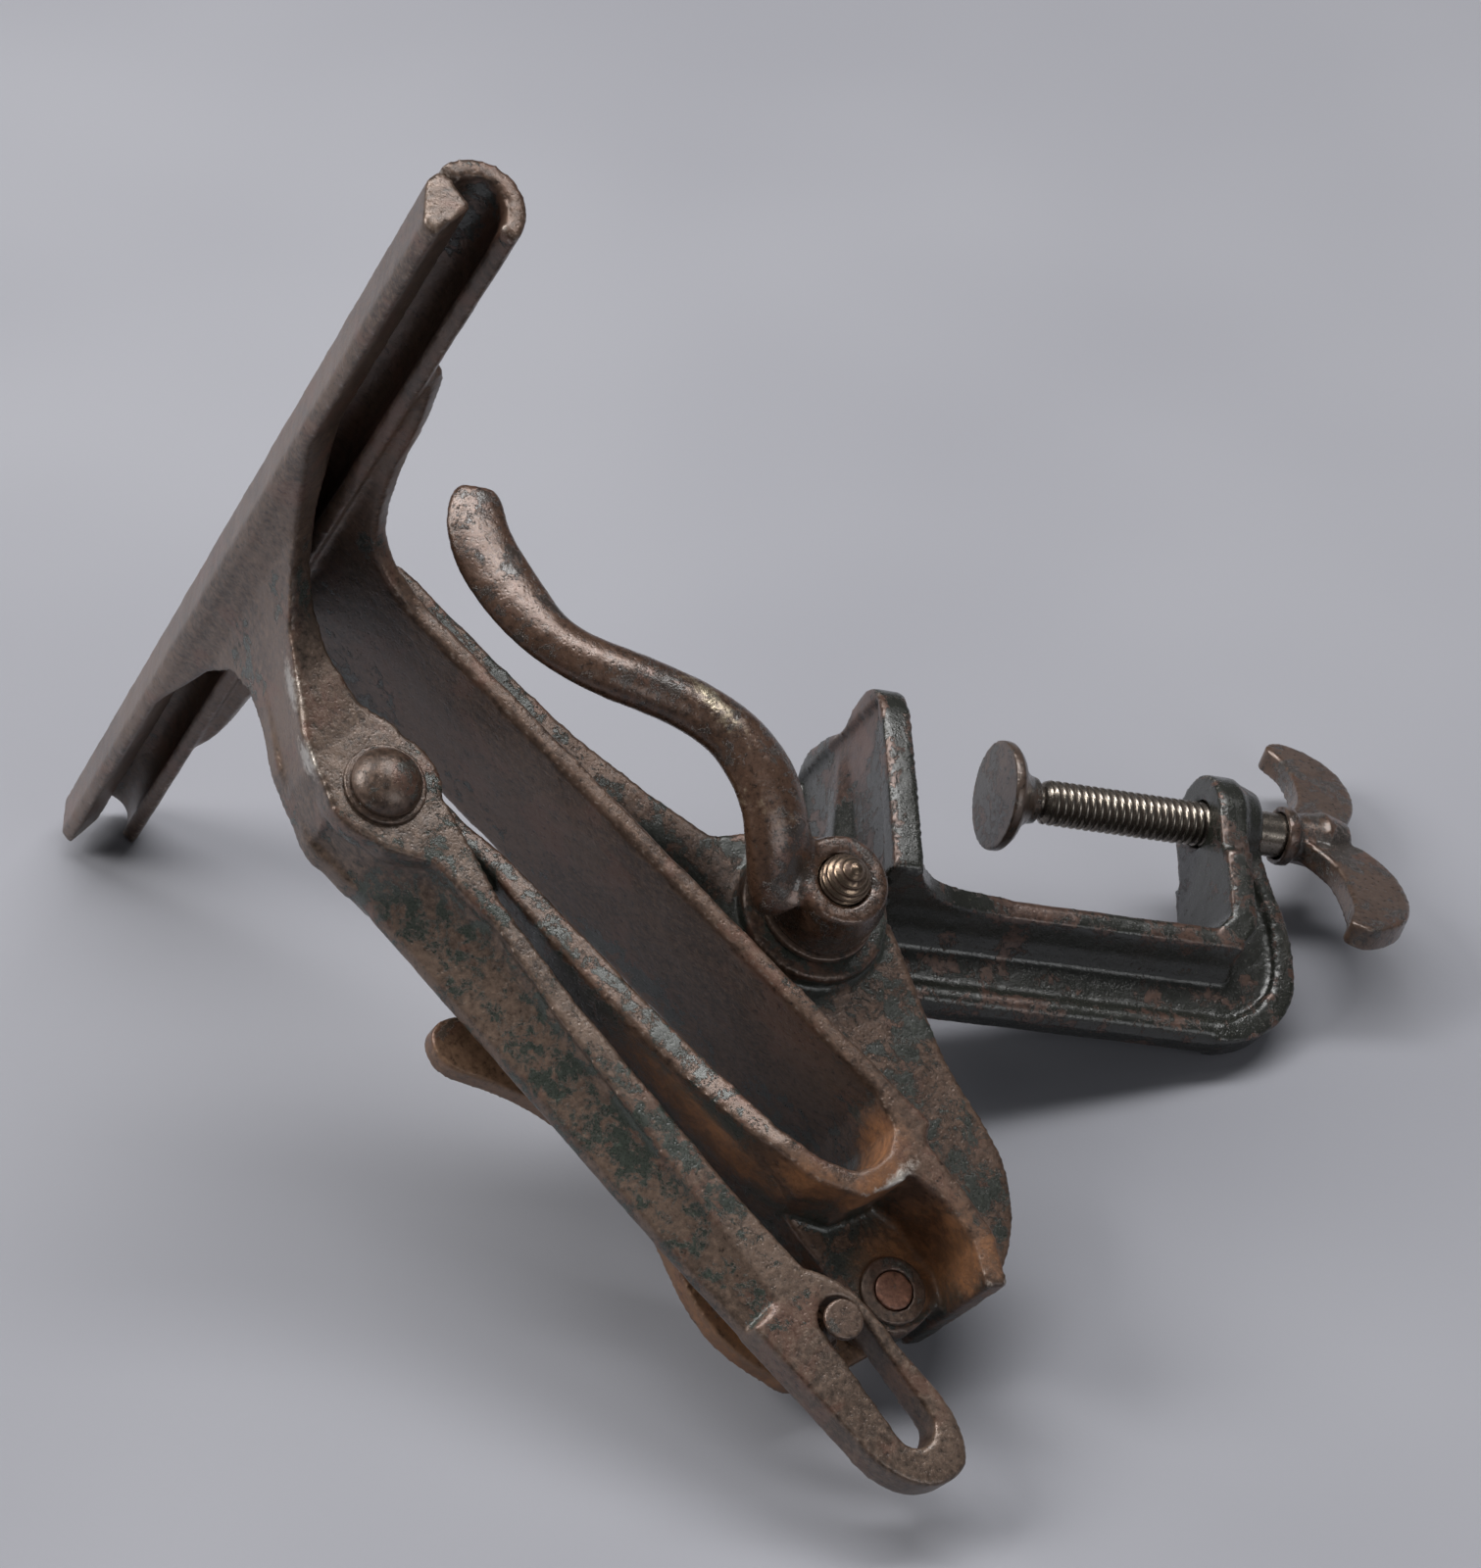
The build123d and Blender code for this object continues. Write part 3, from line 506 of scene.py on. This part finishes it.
arm_iron = iron("old_iron_arm", (0.108, 0.072, 0.052, 1), (0.018, 0.022, 0.017, 1), paint=0.47,
                wear=0.6, gloss=0.33, seed=7.0, island=270.0, oil=0.4)
dress(cast(
    "moving_jaw", "jaw_arm", voxel=0.6, rounds=7,
    # bright places: painted highlights on the neck, partly rubbed metal
    bright=[(9, -20, 140, 3, 5, 9), (8, -27, 127, 3, 3, 7)],
    rusty=[(8, -32, -20, 8, 4, 12)],
    bare=[(0, -5, 164, 130, 8, 8), (4, -22, 136, 12, 12, 20), (7, -36, -24, 12, 12, 22)],
), arm_iron)

rust_iron = iron("old_iron_lever", (0.15, 0.085, 0.050, 1), (0.05, 0.035, 0.025, 1), paint=0.25,
                 wear=0.7, gloss=0.42, seed=3.0)
dress(cast(
    "cam_lever", "lever", voxel=0.45, rounds=5, rough=0.10,
    rusty=[(-14, -30, 0, 6, 12, 22)],
), rust_iron)

rivet_iron = iron("rivet_head", (0.098, 0.064, 0.047, 1), (0.040, 0.036, 0.031, 1), paint=0.35,
                  wear=0.35, gloss=0.30, seed=5.0)
for node, slot in (("jaw_rivet", "jaw_rivet_steel"), ("jaw_rivet_washer", "jaw_washer_steel")):
    dress(cast(node, "frame", voxel=0.32, rounds=4, rough=0.06), rivet_iron)
red_iron = iron("rusty_rivet", (0.20, 0.095, 0.062, 1), (0.07, 0.045, 0.035, 1), paint=0.25,
                wear=0.3, gloss=0.42, seed=2.0)
dress(cast("lever_rivet", "frame", voxel=0.32, rounds=3, rough=0.05), red_iron)
dress(cast("lever_washer", "frame", voxel=0.32, rounds=3, rough=0.05),
      rivet_iron)
dress(cast("crank_pin", "lever", voxel=0.3, rounds=3, rough=0.05), rivet_iron)

# ---------------------------------------------------------------- swivel and handle
dress(cast("stud_washer", "frame", voxel=0.35, rounds=2, rough=0.04),
      rivet_iron)
handle_iron = iron("polished_iron_handle", (0.078, 0.041, 0.025, 1), (0.024, 0.017, 0.013, 1),
                   paint=0.40, wear=0.8, gloss=0.23, seed=9.0, speckle=1.8, oil=0.7,
                   shine=(0.62, 0.54, 0.38, 1))
dress(cast(
    "handle_nut", "handle", voxel=0.5, rounds=12, rough=0.22,
    # bright places: painted highlights at the handle's root, partly rubbed metal
    bright=[(24, 25, 66, 3, 4, 8), (28, 29, 84, 2, 3, 10)],
), handle_iron)

stud_steel = steel("stud_steel", (0.20, 0.145, 0.105, 1), (0.060, 0.036, 0.025, 1), gloss=0.27,
                   hollow_darkening=0.7)
# the stud is in two pieces: a threaded end, and the rest, which is cut off just past its start
stud = turned(
    "swivel_stud_turned", lying(0, *STUD), ALONG,
    [(12.0, 4.9), (19.4, 4.9), (21.2, 4.6), (23.0, 3.5), (24.6, 2.2), (25.4, 1.1), (25.7, 0.1)],
    thread=(13.0, 25.4, 0.6, 1.4),
)
dress(cast("swivel_stud", "clamp", voxel=0.4, rounds=4, rough=0.05, limit=13.0),
      stud_steel)
dress(stud, stud_steel)
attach(stud, "clamp")

# ---------------------------------------------------------------- clamp, screw, pad and wing
clamp_iron = iron("japanned_iron_clamp", (0.082, 0.046, 0.033, 1), (0.011, 0.0115, 0.009, 1),
                  paint=0.70, wear=0.9, gloss=0.28, seed=12.0, island=150.0, oil=0.5)
dress(cast(
    "clamp_bracket", "clamp", voxel=0.6, rounds=7,
    bare=[(-10, 72, 62, 8, 8, 12), (-12, 98, 12, 8, 7, 5), (-12, 82, 14, 8, 14, 3)],
), clamp_iron)

screw_steel = steel("screw_steel", (0.24, 0.21, 0.18, 1), (0.052, 0.038, 0.029, 1), gloss=0.27,
                    hollow_darkening=0.65, seed=4.0)
screw = turned(
    "clamp_screw_threaded", clamp_point(SCREW_X, 0, SCREW_OFFSET),
    clamp_point(0, 1, 0) - clamp_point(0, 0, 0),
    [(-115.0, 4.5), (-62.0, 4.55), (-60.4, 4.45), (-59.6, 3.6), (-59.3, 2.7), (-56.6, 2.6),
     (-56.0, 3.1), (-53.6, 3.1), (-53.2, 2.6)],
    thread=(-103.0, -60.0, 0.62, 1.6),
)
dress(screw, screw_steel)
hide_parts("clamp_screw")
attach(screw, "screw")

pad_iron = iron("pad_iron", (0.072, 0.048, 0.036, 1), (0.024, 0.021, 0.018, 1), paint=0.5, wear=0.7,
                gloss=0.26, seed=6.0, oil=0.5)
dress(cast("swivel_pad", "pad", voxel=0.35, rounds=4, rough=0.05), pad_iron)
wing_iron = iron("wing_iron", (0.085, 0.054, 0.039, 1), (0.028, 0.023, 0.020, 1), paint=0.4,
                 wear=0.9, gloss=0.25, seed=8.0, oil=0.6)
dress(cast("wing_handle", "screw", voxel=0.45, rounds=6, rough=0.08), wing_iron)

# ---------------------------------------------------------------- floor, light and camera
FLOOR_REACH = 4.0  # metres from the middle
GREYS = (0.262, 0.264, 0.290, 1), (0.292, 0.294, 0.320, 1)
floor_mesh = bpy.data.meshes.new("floor")
corners = [(x * FLOOR_REACH, y * FLOOR_REACH, 0) for x, y in ((-1, -1), (1, -1), (1, 1), (-1, 1))]
floor_mesh.from_pydata(corners, [], [(0, 1, 2, 3)])
floor = link("floor", floor_mesh)
cloth = Nodes("pale_floor")
weave = cloth.noise(1400, 2, 0.5)
soft_tone = cloth.noise(5, 2, 0.5)
cloth.join(cloth.mix(cloth.ramp(soft_tone, 0.3, 0.7), *GREYS), cloth.shader.inputs["Base Color"])
cloth.shader.inputs["Roughness"].default_value = 0.9
cloth.shader.inputs["Specular IOR Level"].default_value = 0.15
cloth.join(cloth.bump(weave, 0.05, 0.3), cloth.shader.inputs["Normal"])
dress(floor, cloth.material)


def lamp(name, place, target, size, power, colour):
    """A rectangular light that faces the target, with size in metres and power in watts."""
    data = bpy.data.lights.new(name, "AREA")
    data.shape = "RECTANGLE"
    data.size, data.size_y = size
    data.energy = power
    data.color = colour
    light = bpy.data.objects.new(name, data)
    bpy.context.scene.collection.objects.link(light)
    light.location = place
    light.rotation_euler = (Vector(target) - Vector(place)).to_track_quat("-Z", "Y").to_euler()


# the camera's place in metres, the way it looks and the picture's right-hand direction
CAMERA_PLACE = Vector((0.3666, -0.4672, 0.5779))
VIEW = Vector((-0.4548, 0.5839, -0.6726)).normalized()
RIGHT = Vector((0.7863, 0.6178, 0.0032)).normalized()
AWAY = Vector((VIEW.x, VIEW.y, 0)).normalized()  # level, away from the camera
UP = Vector((0, 0, 1))
centre = UP * 0.09
lamp("window", centre - RIGHT * 1.05 - AWAY * 0.05 + UP * 0.85, centre, size=(0.5, 0.7), power=14,
     colour=(1, 0.99, 0.97))
lamp("overhead", centre + AWAY * 0.35 + UP * 1.15, centre, size=(1.7, 0.3), power=20,
     colour=(1, 1, 1))
lamp("front", centre + RIGHT * 0.75 - AWAY * 0.9 + UP * 0.5, centre, size=(0.5, 0.5), power=2.6,
     colour=(0.96, 0.98, 1))

world = bpy.data.worlds.new("studio")
bpy.context.scene.world = world
world.use_nodes = True
sky = world.node_tree.nodes["Background"]
sky.inputs["Color"].default_value = (0.80, 0.82, 0.86, 1)
sky.inputs["Strength"].default_value = 0.10

lens = bpy.data.cameras.new("camera")
lens.sensor_fit = "VERTICAL"
lens.sensor_height = 24.0
lens.lens = 61.77
lens.clip_start = 0.05
camera = bpy.data.objects.new("camera", lens)
bpy.context.scene.collection.objects.link(camera)
back = -VIEW
top = back.cross(RIGHT).normalized()
side = top.cross(back)
turn = Matrix((side, top, back)).transposed().to_4x4()
camera.matrix_world = Matrix.Translation(CAMERA_PLACE) @ turn
bpy.context.scene.camera = camera
bpy.context.scene.view_settings.view_transform = "Standard"
